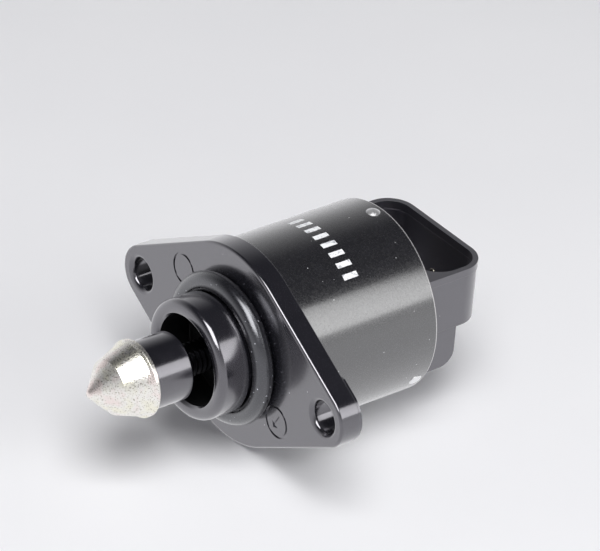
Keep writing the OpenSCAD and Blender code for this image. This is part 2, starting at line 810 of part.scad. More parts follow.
module end_cap() {
    inner_x0 = cap_x + front_wall;
    inner_x1 = shroud_x1 - lip_out - shroud_wall;
    inner_w = shroud_w - 2 * lip_out - 2 * shroud_wall;
    color("#1d1d20") {
        difference() {
            union() {
                rod(plug_r, stack_x1, cap_x);
                shroud();
                latch_wedge();
                intersection() {
                    rotate([90, 0, 0]) linear_extrude(block_w, center = true)
                        side_view(cap_x - plug_len / 2, cap_x + block_len, -block_low,
                            -shroud_low / 2, block_round);
                    rod(plug_r, stack_x1, shroud_x1);
                }
            }
            translate([0, 0, floor_z]) linear_extrude(mouth_z - floor_z + past) difference() {
                rounded_plan(inner_x0, inner_x1, inner_w, inner_corner, shroud_corner - shroud_wall);
                for (side = [-1, 1]) translate([inner_x0, side * key_pitch / 2 - key_w / 2])
                    square([key_out, key_w]);
            }
            rod(bush_r + cut_gap, stack_x1 - past, stack_x1 + bush_len + cut_gap);
            // Pocket in the plug where the coils' pins meet the terminals
            intersection() {
                rod(can_in - seal_d - cup_wall, stack_x1 - past, leaf_x0 + pin_t + 2 * cut_gap);
                translate([stack_x1 - past, -plug_r, -plug_r])
                    cube([plug_len, 2 * plug_r, plug_r - foot_z + pin_t]);
            }
            for (k = [1:4]) translate([0, (k - 2.5) * pin_pitch + pin_w / 2 + cut_gap, 0])
                rotate([90, 0, 0]) linear_extrude(pin_w + 2 * cut_gap) terminal_profile(cut_gap);
            seal_groove(rear_seal_x);
            rivet_places() rivet_fit(cut_gap, past);
        }
    }
}

module front_seal() {
    color("#2a2a2c") seal_ring(front_seal_x);
}

module rear_seal() {
    color("#2a2a2c") seal_ring(rear_seal_x);
}

valve_cone();
plunger();
lead_screw();
flange_body();
o_ring();
motor_can();
can_rivets();
end_cap();
terminal_1();
terminal_2();
terminal_3();
terminal_4();
front_seal();
rear_seal();
bearing_outer_ring();
bearing_inner_ring();
bearing_balls();
bearing_cage();
bearing_retainer();
rotor_hub();
rotor_magnet();
rear_bush();
preload_washer();
stator_cup_front();
stator_plate_front();
stator_plate_rear();
stator_cup_rear();
bobbin_front();
bobbin_rear();
winding_front();
winding_rear();
coil_pins_front();
coil_pins_rear();
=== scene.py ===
# Idle air control valve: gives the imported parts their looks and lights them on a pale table
import bpy
import bmesh
import math
from mathutils import Matrix, Vector


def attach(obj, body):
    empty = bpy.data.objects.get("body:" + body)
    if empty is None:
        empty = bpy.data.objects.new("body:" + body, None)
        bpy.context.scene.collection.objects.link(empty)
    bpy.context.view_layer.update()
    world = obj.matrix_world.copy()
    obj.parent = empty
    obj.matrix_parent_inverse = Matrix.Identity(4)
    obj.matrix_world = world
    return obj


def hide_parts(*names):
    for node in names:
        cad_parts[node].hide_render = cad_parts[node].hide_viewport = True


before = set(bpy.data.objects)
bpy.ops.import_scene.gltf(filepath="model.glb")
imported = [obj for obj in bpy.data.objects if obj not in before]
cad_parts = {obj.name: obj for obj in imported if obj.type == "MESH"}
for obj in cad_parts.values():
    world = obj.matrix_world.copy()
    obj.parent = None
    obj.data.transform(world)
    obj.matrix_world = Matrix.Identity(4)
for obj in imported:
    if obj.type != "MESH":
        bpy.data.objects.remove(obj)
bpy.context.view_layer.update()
mm = 0.001  # sizes below are in millimetres and meet this once


def linearColour(hexText):
    # sRGB hex to the linear values that shaders take
    parts = [int(hexText[i:i + 2], 16) / 255 for i in (1, 3, 5)]
    return tuple(c / 12.92 if c <= 0.04045 else ((c + 0.055) / 1.055) ** 2.4 for c in parts) + (1.0,)


def addNode(tree, kind, inputs=None, **settings):
    # inputs are numbers, hex colours, sockets, or nodes whose first output is meant
    node = tree.nodes.new(kind)
    for key, value in settings.items():
        setattr(node, key, value)
    for key, value in (inputs or {}).items():
        if isinstance(value, bpy.types.Node):
            value = value.outputs[0]
        if isinstance(value, bpy.types.NodeSocket):
            tree.links.new(value, node.inputs[key])
        else:
            node.inputs[key].default_value = linearColour(value) if isinstance(value, str) else value
    return node


def newMaterial(name):
    # an empty material, its tree and the object's own coordinates
    mat = bpy.data.materials.new(name)
    mat.use_nodes = True
    mat.node_tree.nodes.clear()
    return mat, mat.node_tree, addNode(mat.node_tree, "ShaderNodeTexCoord").outputs["Object"]


def perMetre(sizeMm):
    # a texture's scale from the size of its grain
    return 1000 / sizeMm


def noise(tree, where, grainMm, detail):
    return addNode(tree, "ShaderNodeTexNoise", {"Vector": where, "Scale": perMetre(grainMm), "Detail": detail})


def blend(tree, factor, first, second):
    # the first colour at factor 0, the second at 1
    return addNode(tree, "ShaderNodeMix", {0: factor, 6: first, 7: second}, data_type="RGBA").outputs[2]


def between(tree, texture, low, high):
    # spreads the middle of a noise texture's values over a range
    return addNode(tree, "ShaderNodeMapRange", {0: texture, 1: 0.3, 2: 0.7, 3: low, 4: high})


def relief(tree, height, strength, depth, **under):
    # a bump whose depth is in millimetres; Normal names another bump that it lies on
    return addNode(tree, "ShaderNodeBump", {"Height": height, "Strength": strength, "Distance": depth * mm, **under})


def surfaced(mat, inputs):
    # ends a material with its surface shader
    shader = addNode(mat.node_tree, "ShaderNodeBsdfPrincipled", inputs)
    addNode(mat.node_tree, "ShaderNodeOutputMaterial", {"Surface": shader})
    return mat


def lint(tree, where, spacing, radius):
    # specks of dust: only cells whose centre lies in the surface show one
    cells = addNode(tree, "ShaderNodeTexVoronoi", {"Vector": where, "Scale": perMetre(spacing)})
    return addNode(tree, "ShaderNodeMapRange", {0: cells, 1: radius / spacing, 2: 0.6 * radius / spacing})


def mouldedPolyester(name, roughness, deep, pale, speck, seams=()):
    # glass-filled polyester out of a polished mould: deep black and wet-looking, with faint flow marks;
    # seams are the heights in millimetres at which parts of the mould met and left a line
    mat, tree, where = newMaterial(name)
    flow = addNode(tree, "ShaderNodeTexNoise", {
        "Vector": where, "Scale": perMetre(7), "Detail": 3.0, "Distortion": 0.6})
    haze = noise(tree, where, 1.4, detail=4.0)
    dust = lint(tree, where, spacing=2.6, radius=speck)
    body = blend(tree, flow, deep, pale)
    colour = blend(tree, dust, body, "#c4c4c8")
    rough = between(tree, haze, roughness * 0.9, roughness * 1.12)
    dulled = addNode(tree, "ShaderNodeMath", {0: rough, 1: dust}, operation="MAXIMUM")
    bump = relief(tree, flow, strength=0.12, depth=0.05)
    for height in seams:
        z = addNode(tree, "ShaderNodeSeparateXYZ", {0: where}).outputs["Z"]
        above = addNode(tree, "ShaderNodeMath", {0: z, 1: height * mm}, operation="SUBTRACT")
        away = addNode(tree, "ShaderNodeMath", {0: above}, operation="ABSOLUTE")
        ridge = addNode(tree, "ShaderNodeMapRange", {0: away, 1: 0.0, 2: 0.16 * mm})
        bump = relief(tree, ridge, strength=0.7, depth=0.12, Normal=bump)
    return surfaced(mat, {
        "Base Color": colour, "Roughness": dulled, "Normal": bump, "IOR": 1.85, "Specular Tint": "#f3edff",
        "Coat Weight": 1.0, "Coat Roughness": roughness * 0.7, "Coat IOR": 1.95})


def bakedEnamel(bareFrom):
    # stoved satin enamel on drawn steel: broad soft lights whose edges break up into a fine grain;
    # it has worn off the cut edge, which is bare steel from that station on
    mat, tree, where = newMaterial("bakedSatinEnamel")
    grain = noise(tree, where, 0.5, detail=2.0)
    peel = noise(tree, where, 2.4, detail=1.0)
    dust = lint(tree, where, spacing=2.4, radius=0.12)
    body = blend(tree, peel, "#151518", "#1f1f23")
    dusty = blend(tree, dust, body, "#cfcfd2")
    along = addNode(tree, "ShaderNodeSeparateXYZ", {0: where}).outputs["X"]
    bare = addNode(tree, "ShaderNodeMapRange", {0: along, 1: bareFrom * mm, 2: (bareFrom + 0.06) * mm})
    colour = blend(tree, bare, dusty, "#d8d6d6")
    rough = between(tree, grain, 0.2, 0.32)
    fine = relief(tree, grain, strength=0.5, depth=0.03)
    wide = relief(tree, peel, strength=0.25, depth=0.03, Normal=fine)
    return surfaced(mat, {
        "Base Color": colour, "Roughness": rough, "Normal": wide, "Metallic": bare, "IOR": 1.85,
        "Coat Weight": 1.0, "Coat Roughness": 0.16, "Coat IOR": 2.0})


def zincPlatedSteel():
    # blasted, zinc plated and yellow passivated: a bright skin that sparkles, with straw and rose tints
    mat, tree, where = newMaterial("zincPlatedBlastedSteel")
    patch = noise(tree, where, 3.2, detail=2.0)
    grit = addNode(tree, "ShaderNodeTexVoronoi", {"Vector": where, "Scale": perMetre(0.32)})
    fine = noise(tree, where, 0.22, detail=3.0)
    toStraw = addNode(tree, "ShaderNodeMapRange", {0: patch, 1: 0.38, 2: 0.52})
    toRose = addNode(tree, "ShaderNodeMapRange", {0: patch, 1: 0.52, 2: 0.64})
    straw = blend(tree, toStraw, "#fffcec", "#fffdf8")
    rose = blend(tree, toRose, straw, "#fff2ee")
    inPit = addNode(tree, "ShaderNodeMapRange", {0: fine, 1: 0.44, 2: 0.36})
    skinned = blend(tree, inPit, rose, "#bcb8aa")
    rough = between(tree, fine, 0.24, 0.36)
    pits = relief(tree, grit, strength=0.5, depth=0.024)
    skin = relief(tree, fine, strength=0.5, depth=0.028, Normal=pits)
    return surfaced(mat, {
        "Base Color": skinned, "Roughness": rough, "Normal": skin, "Metallic": 1.0})


def nitrileRubber():
    # moulded rubber, lightly oiled: broad soft lights, dusted with pale lint
    mat, tree, where = newMaterial("nitrileRubber")
    skin = noise(tree, where, 0.5, detail=4.0)
    dust = lint(tree, where, spacing=1.3, radius=0.14)
    body = blend(tree, skin, "#0e0e11", "#18181c")
    colour = blend(tree, dust, body, "#d0d2dc")
    rough = between(tree, skin, 0.24, 0.34)
    bump = relief(tree, skin, strength=0.3, depth=0.02)
    return surfaced(mat, {
        "Base Color": colour, "Roughness": rough, "Normal": bump, "IOR": 1.6, "Specular Tint": "#e9ecff",
        "Coat Weight": 1.0, "Coat Roughness": 0.22, "Coat IOR": 1.75})


def plainMetal(name, light, dark, grain, roughness, bump, stretch=(1, 1, 1)):
    # metal whose tool marks or grain, in millimetres, run with the stretch, a factor along X, Y and Z
    mat, tree, where = newMaterial(name)
    turned = addNode(tree, "ShaderNodeMapping", {"Vector": where, "Scale": stretch})
    marks = noise(tree, turned, grain, detail=4.0)
    colour = blend(tree, marks, dark, light)
    rough = between(tree, marks, roughness * 0.75, roughness * 1.25)
    worked = relief(tree, marks, strength=0.4, depth=bump)
    return surfaced(mat, {"Base Color": colour, "Roughness": rough, "Normal": worked, "Metallic": 1.0})


def dullMoulding(name, light, dark, grainMm, roughness):
    # matt moulded or pressed stuff with a cloudy grain
    mat, tree, where = newMaterial(name)
    cloud = noise(tree, where, grainMm, detail=5.0)
    colour = blend(tree, cloud, dark, light)
    rough = between(tree, cloud, roughness * 0.85, roughness * 1.15)
    bump = relief(tree, cloud, strength=0.3, depth=0.02)
    return surfaced(mat, {"Base Color": colour, "Roughness": rough, "Normal": bump})


def boreShadeFilm():
    # near-black painted shade laid on the deep bore round the screw, where the shade falls: dark, hardly shining
    mat, tree, where = newMaterial("boreShadePolyester")
    smear = noise(tree, where, 1.8, detail=3.0)
    colour = blend(tree, smear, "#060607", "#0c0c0e")
    rough = between(tree, smear, 0.5, 0.7)
    bump = relief(tree, smear, strength=0.3, depth=0.05)
    return surfaced(mat, {"Base Color": colour, "Roughness": rough, "Normal": bump, "IOR": 1.3})


coneMetal = zincPlatedSteel()
boreShade = boreShadeFilm()
flangePlastic = mouldedPolyester("polishedMouldedPolyester", 0.2, "#131317", "#1b1b20", speck=0.11)
# a duller mould, softer lights
socketPlastic = mouldedPolyester("satinMouldedPolyester", 0.36, "#1a1a1f", "#222228", speck=0.08, seams=(7.8, -2.1))
# black and glossy like the flange
plungerNylon = mouldedPolyester("mouldedNylon", 0.2, "#101014", "#17171c", speck=0.07)
canEnamel = bakedEnamel(bareFrom=31.42)
rubber = nitrileRubber()
# bright from the heading die
rivetAluminium = plainMetal("headedAluminium", "#fafafa", "#f0f0f2", grain=0.35, roughness=0.42, bump=0.07)
# drawn strip, lines along the blade
tinnedBrass = plainMetal("tinnedBrass", "#dcd8cc", "#b9b2a0", grain=0.5, roughness=0.24, bump=0.01,
                         stretch=(1, 1, 0.1))
# rolled steel; its near-black colour is painted shade for the deep bore it turns in
screwSteel = plainMetal("screwSteelShadedBlack", "#1c1c1f", "#0d0d0f", grain=0.4, roughness=0.5, bump=0.01,
                        stretch=(0.2, 1, 1))
# fine ground rings
raceSteel = plainMetal("groundBearingSteel", "#d6d8dc", "#b8babf", grain=0.5, roughness=0.12, bump=0.004,
                       stretch=(3, 0.3, 0.3))
# lapped to a mirror
ballSteel = plainMetal("polishedBearingSteel", "#e4e6ea", "#cfd1d5", grain=0.8, roughness=0.06, bump=0.002)
# warm yellow, softly shining
cageBrass = plainMetal("pressedBrass", "#d2ad62", "#a98338", grain=0.5, roughness=0.26, bump=0.01)
# grey with roll marks
springSteel = plainMetal("bareSpringSteel", "#a9abb0", "#7d7f86", grain=0.4, roughness=0.24, bump=0.01,
                         stretch=(0.3, 1, 1))
# brown, with open pores
bushBronze = plainMetal("sinteredBronze", "#9a6a3e", "#5f3d20", grain=0.25, roughness=0.42, bump=0.03)
# dull silver sheet
poleSteel = plainMetal("platedPoleSteel", "#b9bbc0", "#8c8e94", grain=0.7, roughness=0.32, bump=0.02)
# deep orange under lacquer
coilCopper = plainMetal("enamelledCopperWire", "#b4602c", "#7c3716", grain=0.8, roughness=0.22, bump=0.004,
                        stretch=(0.2, 1, 1))
# cream, a little cloudy
hubPolyester = dullMoulding("naturalPolyester", "#e6e0cd", "#cfc8b2", grainMm=1.6, roughness=0.42)
# dark grey and chalky
ferrite = dullMoulding("sinteredFerrite", "#3d3d42", "#222226", grainMm=0.35, roughness=0.62)
print("materials made")


def newObject(name, data):
    made = bpy.data.objects.new(name, data)
    bpy.context.collection.objects.link(made)
    return made


def plainResult(holder):
    # the mesh that an object's modifiers give; the holder goes
    result = bpy.data.meshes.new_from_object(holder.evaluated_get(bpy.context.evaluated_depsgraph_get()))
    bpy.data.objects.remove(holder)
    return result


def copyWith(mesh, settings):
    # runs (kind, values) modifiers over a mesh and gives back the plain result
    holder = newObject("holder", mesh)
    for kind, values in settings:
        modifier = holder.modifiers.new(kind.lower(), kind)
        for key, value in values.items():
            setattr(modifier, key, value)
    return plainResult(holder)


def finishPiece(name, mesh, mat, body, replaced, sharp=30):
    # smooths a mesh but for edges over the sharp angle in degrees, and puts it on a body in place of CAD nodes
    mesh.materials.clear()
    mesh.materials.append(mat)
    mesh.shade_smooth()
    mesh.set_sharp_from_angle(angle=math.radians(sharp))
    mesh = copyWith(mesh, [("WEIGHTED_NORMAL", dict(keep_sharp=True, weight=90))])
    mesh.name = name
    piece = newObject(name, mesh)
    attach(piece, body)
    if replaced:
        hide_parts(*replaced)
    return piece


def softened(corners, steps=5):
    # rounds a profile: each corner is (radius, x, rounding) in millimetres
    out = []
    for i, (r, x, rounding) in enumerate(corners):
        here = Vector((r, x))
        before, after = Vector(corners[i - 1][:2]), Vector(corners[(i + 1) % len(corners)][:2])
        if rounding <= 0:
            out.append(here)
            continue
        a, b = (before - here).normalized(), (after - here).normalized()
        half = a.angle(b) / 2
        reach = min(rounding / math.tan(half), (before - here).length * 0.49, (after - here).length * 0.49)
        middle = here + (a + b).normalized() * (reach / math.cos(half))
        start, end = here + a * reach - middle, here + b * reach - middle
        for k in range(steps + 1):
            turn = -start.angle_signed(end) * k / steps
            c, s = math.cos(turn), math.sin(turn)
            out.append(middle + Vector((start.x * c - start.y * s, start.x * s + start.y * c)))
    return out


def meshFrom(bm, name):
    # a closed mesh with its doubles merged and its faces outwards
    bmesh.ops.remove_doubles(bm, verts=bm.verts, dist=1e-7)
    bmesh.ops.recalc_face_normals(bm, faces=bm.faces)
    mesh = bpy.data.meshes.new(name)
    bm.to_mesh(mesh)
    bm.free()
    return mesh


def lathe(name, profile, segments=160):
    # turns a closed profile of (radius, x) points about the valve's axis
    bm = bmesh.new()
    rings = []
    for r, x in (tuple(p) for p in profile):
        count = 1 if r < 1e-5 else segments
        turns = [2 * math.pi * k / count for k in range(count)]
        rings.append([bm.verts.new((x * mm, r * mm * math.cos(a), r * mm * math.sin(a))) for a in turns])
    for ring, following in zip(rings, rings[1:] + rings[:1]):
        for k in range(segments):
            j = (k + 1) % segments
            corners = dict.fromkeys([ring[k % len(ring)], ring[j % len(ring)],
                                     following[j % len(following)], following[k % len(following)]])
            if len(corners) > 2:
                bm.faces.new(corners)
    return meshFrom(bm, name)


def loft(name, loops):
    # skins a row of (station, outline) loops, each outline as many (y, z) points, and closes both ends
    bm = bmesh.new()
    rings = [[bm.verts.new((x * mm, y * mm, z * mm)) for y, z in outline] for x, outline in loops]
    for ring, following in zip(rings, rings[1:]):
        for k in range(len(ring)):
            bm.faces.new((ring[k - 1], ring[k], following[k], following[k - 1]))
    bm.faces.new(rings[0])
    bm.faces.new(rings[-1])
    return meshFrom(bm, name)


def carved(mesh, steps):
    # joins other meshes to this one, or cuts them out of it, in turn
    holders = []
    for index, item in enumerate([mesh] + [tool for _, tool in steps]):
        holders.append(newObject("holder" + str(index), item))
    for (operation, _), tool in zip(steps, holders[1:]):
        modifier = holders[0].modifiers.new("carve", "BOOLEAN")
        modifier.operation, modifier.object, modifier.solver = operation, tool, "EXACT"
    result = plainResult(holders[0])
    for holder in holders[1:]:
        bpy.data.objects.remove(holder)
    return result


def shifted(mesh, y, z=0.0):
    mesh.transform(Matrix.Translation((0, y * mm, z * mm)))
    return mesh


cone = dict(back=-19.5, rim=6.95, rimWidth=0.75, bevel=0.4, taper=6.55, taperLength=4.65, point=4.93, tip=1.0,
            socket=4.2, socketDepth=4.2, tipSteps=8)
rimFront = cone["back"] - cone["rimWidth"]
taperStart = rimFront - cone["bevel"]
pointStart = taperStart - cone["taperLength"]
slope = math.pi / 4  # the point's half angle
tipCentre = pointStart - (cone["point"] * math.cos(slope) - cone["tip"]) / math.sin(slope)
tipArc = [(cone["tip"] * math.cos(a), tipCentre - cone["tip"] * math.sin(a), 0)
          for a in [slope + k * slope / cone["tipSteps"] for k in range(cone["tipSteps"])]]
coneProfile = softened(
    [(0, cone["back"] - cone["socketDepth"], 0), (cone["socket"], cone["back"] - cone["socketDepth"], 0.2),
     (cone["socket"], cone["back"], 0.1), (cone["rim"], cone["back"], 0.12), (cone["rim"], rimFront, 0.1),
     (cone["taper"], taperStart, 0.08), (cone["point"], pointStart, 0.2)] + tipArc + [(0, tipCentre - cone["tip"], 0)])
finishPiece("coneCap", lathe("coneCap", coneProfile), coneMetal, "plunger", ("valve_cone",), 24)
print("cone made")

plunger = dict(front=-23.65, spigot=4.18, shoulder=-19.48, skirt=6.15, end=-11.9, endRound=0.45, skirtInside=5.05,
               crown=-17.5, boss=3.9, bossEnd=-11.1, stub=2.22, stubFloor=-17.7)
plungerProfile = softened(
    [(0, plunger["front"], 0), (plunger["spigot"], plunger["front"], 0.2),
     (plunger["spigot"], plunger["shoulder"], 0.1), (plunger["skirt"], plunger["shoulder"], 0.15),
     (plunger["skirt"], plunger["end"], plunger["endRound"]), (plunger["skirtInside"], plunger["end"], 0.2),
     (plunger["skirtInside"], plunger["crown"], 0.3), (plunger["boss"], plunger["crown"], 0.3),
     (plunger["boss"], plunger["bossEnd"], 0.2), (plunger["stub"], plunger["bossEnd"], 0.1),
     (plunger["stub"], plunger["stubFloor"], 0.1), (0, plunger["stubFloor"], 0)])
finishPiece("plungerSleeve", lathe("plungerSleeve", plungerProfile), plungerNylon, "plunger", ("plunger",))

# rolled thread, cut away by the two flats that stop the screw from turning
screw = dict(front=-11.08, back=14.0, radius=3.0, depth=0.42, pitch=1.0, flats=4.8, chamfer=0.5,
             stub=2.2, stubFront=-17.68, stubChamfer=0.3, step=0.001, flank=1.5, crest=0.25, around=72, perTurn=10)


def threadedScrew(name):
    stations = [(screw["stubFront"], screw["stub"] - screw["stubChamfer"], 0),
                (screw["stubFront"] + screw["stubChamfer"], screw["stub"], 0),
                (screw["front"] - screw["step"], screw["stub"], 0)]
    count = int((screw["back"] - screw["front"]) / screw["pitch"] * screw["perTurn"])
    for i in range(count + 1):
        x = screw["front"] + (screw["back"] - screw["front"]) * i / count
        stations.append((x, screw["radius"] - max(0.0, screw["chamfer"] - (screw["back"] - x)), screw["depth"]))
    bm = bmesh.new()
    rings = []
    for x, radius, depth in stations:
        ring = []
        for k in range(screw["around"]):
            a = 2 * math.pi * k / screw["around"]
            phase = (x / screw["pitch"] - a / (2 * math.pi)) % 1
            r = radius - depth * min(1, max(0, screw["flank"] * abs(2 * phase - 1) - screw["crest"]))
            y, z = r * math.cos(a), r * math.sin(a)
            if depth:
                z = max(-screw["flats"] / 2, min(screw["flats"] / 2, z))
            ring.append(bm.verts.new((x * mm, y * mm, z * mm)))
        rings.append(ring)
    for a, b in zip(rings, rings[1:]):
        for k in range(screw["around"]):
            bm.faces.new((a[k - 1], a[k], b[k], b[k - 1]))
    bm.faces.new(rings[0])
    bm.faces.new(rings[-1])
    return meshFrom(bm, name)


finishPiece("threadedScrew", threadedScrew("threadedScrew"), screwSteel, "plunger", ("lead_screw",), 40)
print("plunger and screw made")

# the O-ring's section, with the mould's flash line round its outside
oRing = dict(pitch=12.02, station=-1.82, radius=1.8, flash=0.05, points=60)
ringProfile = []
for k in range(oRing["points"]):
    a = 2 * math.pi * k / oRing["points"]
    r = oRing["radius"] + (oRing["flash"] if k == 0 else 0)
    ringProfile.append((oRing["pitch"] + r * math.cos(a), oRing["station"] + r * math.sin(a)))
finishPiece("rubberRing", lathe("rubberRing", ringProfile, 192), rubber, "housing", ("o_ring",), 60)

can = dict(front=4.1, back=31.8, radius=17.5, wall=1.0, rearEdge=0.35)
canProfile = softened(
    [(can["radius"] - can["wall"], can["front"], 0.05), (can["radius"], can["front"], 0.15),
     (can["radius"], can["back"], can["rearEdge"]), (can["radius"] - can["wall"], can["back"], 0.2)])
finishPiece("drawnCan", lathe("drawnCan", canProfile, 256), canEnamel, "housing", ("motor_can",), 50)
print("ring and can made")

# the front moulding: plate with two ears, collar in front, spigot and bearing seat behind
flange = dict(thick=4.1, frontRound=0.5, rearRound=0.15, waist=18.6, ear=5.3, bolt=26.3, hole=2.85, holeRound=1.0,
              holeChamfer=0.2, padHeight=0.45, padRadius=6.2, padStep=0.15, padFront=3.0, discEnds=(2.5, 6.0),
              canGap=0.05, canEnds=(2.0, 7.0), steps=40)
collar = dict(front=-9.7, radius=10.9, lipRound=1.3, seat=10.2, seatFront=-3.9, recess=8.15, mouthGrow=0.45,
              mouthDepth=0.65, mouthStep=0.25, mouthLip=0.1, recessRound=0.3, floor=-2.6)
spigot = dict(front=2.0, radius=16.45, back=6.4, groove=15.3, grooveFront=4.6, grooveBack=5.9)
bearing = dict(throat=6.75, front=0.9, radius=8.02, washerRadius=9.62, washerFront=5.9, washerBack=7.4)
guide = dict(radius=3.05, flat=2.45, back=-0.6, steps=96, overlap=0.5)
moulded = dict(pitch=16.2, angle=28.5, radius=3.05, groove=0.45, depth=0.22,
               arrowLength=3.2, arrowWidth=1.8, arrowShaft=0.5)
# the stretch of bore, walls and floor, that takes the near-black painted shade
boreShadeZone = dict(radius=8.25, front=-8.5)
beyond = 1.0  # how far a cutting body stands out of what it cuts


def flangeOutline(inset):
    # arcs round the waist and the two ears; the straight edges between them are tangent to both
    tilt = math.acos((flange["waist"] - flange["ear"]) / flange["bolt"])
    points = []
    for centre, radius, start, end in (
            (flange["bolt"], flange["ear"], -tilt, tilt), (0, flange["waist"], tilt, math.pi - tilt),
            (-flange["bolt"], flange["ear"], math.pi - tilt, math.pi + tilt),
            (0, flange["waist"], math.pi + tilt, 2 * math.pi - tilt)):
        for k in range(flange["steps"] + 1):
            a = start + (end - start) * k / flange["steps"]
            points.append((centre + (radius - inset) * math.cos(a), (radius - inset) * math.sin(a)))
    return points


def quarterRound(radius, steps):
    # a quarter circle as (inset, along) pairs, from the edge of the face to the side wall
    turns = [k * math.pi / 2 / steps for k in range(steps + 1)]
    return [(radius * (1 - math.sin(a)), radius * (1 - math.cos(a))) for a in turns]


def flangeBlank():
    # the solid outside: plate, collar and spigot, and a low pad behind each ear
    c, s, thick = collar, spigot, flange["thick"]
    turned = lathe("turned", softened(
        [(0, c["front"], 0), (c["radius"], c["front"], c["lipRound"]), (c["radius"], c["seatFront"], 0.12),
         (c["seat"], c["seatFront"], 0.1), (c["seat"], s["front"], 0), (s["radius"], s["front"], 0),
         (s["radius"], s["grooveFront"], 0), (s["groove"], s["grooveFront"], 0), (s["groove"], s["grooveBack"], 0),
         (s["radius"], s["grooveBack"], 0), (s["radius"], s["back"], 0.2), (0, s["back"], 0)]), 192)
    padBack = thick + flange["padHeight"]
    pads = loft("pads", [(x, flangeOutline(flange["padStep"])) for x in (flange["padFront"], padBack)])
    near, far = flange["discEnds"]
    disc = [(0, near), (flange["padRadius"], near), (flange["padRadius"], far), (0, far)]
    ears = [shifted(lathe("ear", disc, 96), side * flange["bolt"]) for side in (-1, 1)]
    clear, (near, far) = can["radius"] + flange["canGap"], flange["canEnds"]
    around = lathe("around", [(0, near), (clear, near), (clear, far), (0, far)], 256)
    bothEars = carved(ears[0], [("UNION", ears[1])])
    pads = carved(pads, [("INTERSECT", bothEars), ("DIFFERENCE", around)])
    front = [(along, flangeOutline(inset)) for inset, along in quarterRound(flange["frontRound"], 6)]
    rear = [(thick - along, flangeOutline(inset)) for inset, along in quarterRound(flange["rearRound"], 6)]
    plate = loft("plate", front + rear[::-1])
    return carved(plate, [("UNION", turned), ("UNION", pads)])


def boltHole():
    # the body that cuts a bolt hole, with a rounded mouth in front and a small chamfer behind
    hole, chamfer = flange["hole"], flange["holeChamfer"]
    rear = flange["thick"] + flange["padHeight"]
    mouth = [(hole + along, inset) for inset, along in quarterRound(flange["holeRound"], 8)]
    profile = mouth[::-1] + [(hole, rear - chamfer), (hole + chamfer, rear), (hole + chamfer, rear + beyond),
                             (0, rear + beyond), (0, -beyond), (hole + flange["holeRound"], -beyond)]
    return lathe("hole", profile[::-1], 96)


def flangeCuts():
    # what is taken out of it: recess, bearing seat, screw guide, bolt holes and the two mould marks
    c, b, g, m = collar, bearing, guide, moulded
    mouth, rounding = c["recess"] + c["mouthGrow"], c["recessRound"]
    recess = lathe("recess", softened(
        [(0, c["front"] - beyond, 0), (mouth + c["mouthStep"], c["front"] - beyond, 0),
         (mouth + c["mouthStep"], c["front"], 0), (mouth, c["front"] + c["mouthLip"], rounding),
         (c["recess"], c["front"] + c["mouthDepth"], rounding), (c["recess"], c["floor"], rounding),
         (0, c["floor"], 0)]), 192)
    seat = lathe("seat", [
        (0, g["back"]), (b["throat"], g["back"]), (b["throat"], b["front"]), (b["radius"], b["front"]),
        (b["radius"], b["washerFront"]), (b["washerRadius"], b["washerFront"]), (b["washerRadius"], b["washerBack"]),
        (0, b["washerBack"])], 160)
    turns = [2 * math.pi * k / g["steps"] for k in range(g["steps"])]
    section = [(g["radius"] * math.cos(a), max(-g["flat"], min(g["flat"], g["radius"] * math.sin(a)))) for a in turns]
    slot = loft("slot", [(c["floor"] - g["overlap"], section), (g["back"] + g["overlap"], section)])
    cuts = [recess, seat, slot] + [shifted(boltHole(), side * flange["bolt"]) for side in (-1, 1)]
    inner, shaft, half = m["radius"] - m["groove"], m["arrowShaft"] / 2, m["arrowWidth"] / 2
    tip = m["arrowLength"] / 2
    arrow = [(-shaft, -tip), (shaft, -tip), (shaft, tip - half), (half, tip - half), (0, tip), (-half, tip - half),
             (-shaft, tip - half)]
    for turn in (0, 180):
        a = math.radians(m["angle"] + turn)
        groove = lathe("groove", [(inner, -beyond), (m["radius"], -beyond), (m["radius"], m["depth"]),
                                  (inner, m["depth"])], 96)
        cuts.append(shifted(groove, m["pitch"] * math.cos(a), m["pitch"] * math.sin(a)))
        if turn:
            placed = [((m["pitch"] + y) * math.cos(a) - z * math.sin(a),
                       (m["pitch"] + y) * math.sin(a) + z * math.cos(a)) for y, z in arrow]
            cuts.append(loft("arrow", [(-beyond, placed), (m["depth"], placed)]))
    return [("DIFFERENCE", cut) for cut in cuts]


moulding = finishPiece("flangeMoulding", carved(flangeBlank(), flangeCuts()), flangePlastic, "housing",
                       ("flange_body",), 32)
# faces of the bore inside that stretch get the near-black painted shade as their second material
moulding.data.materials.append(boreShade)
for face in moulding.data.polygons:
    middle = face.center / mm
    if math.hypot(middle.y, middle.z) < boreShadeZone["radius"] and boreShadeZone["front"] < middle.x < 0:
        face.material_index = 1
print("flange made")

# doubles are merged in millimetres; edges flatter or sharper than these degrees are dropped or rounded
broken = dict(merge=0.002, flat=0.4, sharp=28)


def edgesBroken(node, name, width, segments=3):
    # a copy of a CAD piece with every sharp edge a little rounded
    bm = bmesh.new()
    bm.from_mesh(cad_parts[node].data)
    bmesh.ops.remove_doubles(bm, verts=bm.verts, dist=broken["merge"] * mm)
    bmesh.ops.dissolve_limit(bm, angle_limit=math.radians(broken["flat"]), verts=bm.verts, edges=bm.edges)
    mesh = bpy.data.meshes.new(name)
    bm.to_mesh(mesh)
    bm.free()
    return copyWith(mesh, [("BEVEL", dict(
        width=width * mm, segments=segments, limit_method="ANGLE", angle_limit=math.radians(broken["sharp"]),
        use_clamp_overlap=True))])


cap = dict(round=0.22)
finishPiece("capMoulding", edgesBroken("end_cap", "capMoulding", cap["round"]), socketPlastic, "housing", ("end_cap",),
            35)
blade = dict(round=0.12)
for number in (1, 2, 3, 4):
    node = "terminal_" + str(number)
    finishPiece("blade" + str(number), edgesBroken(node, "blade", blade["round"], 2), tinnedBrass, "housing",
                (node,), 35)
print("end cap and blades made")


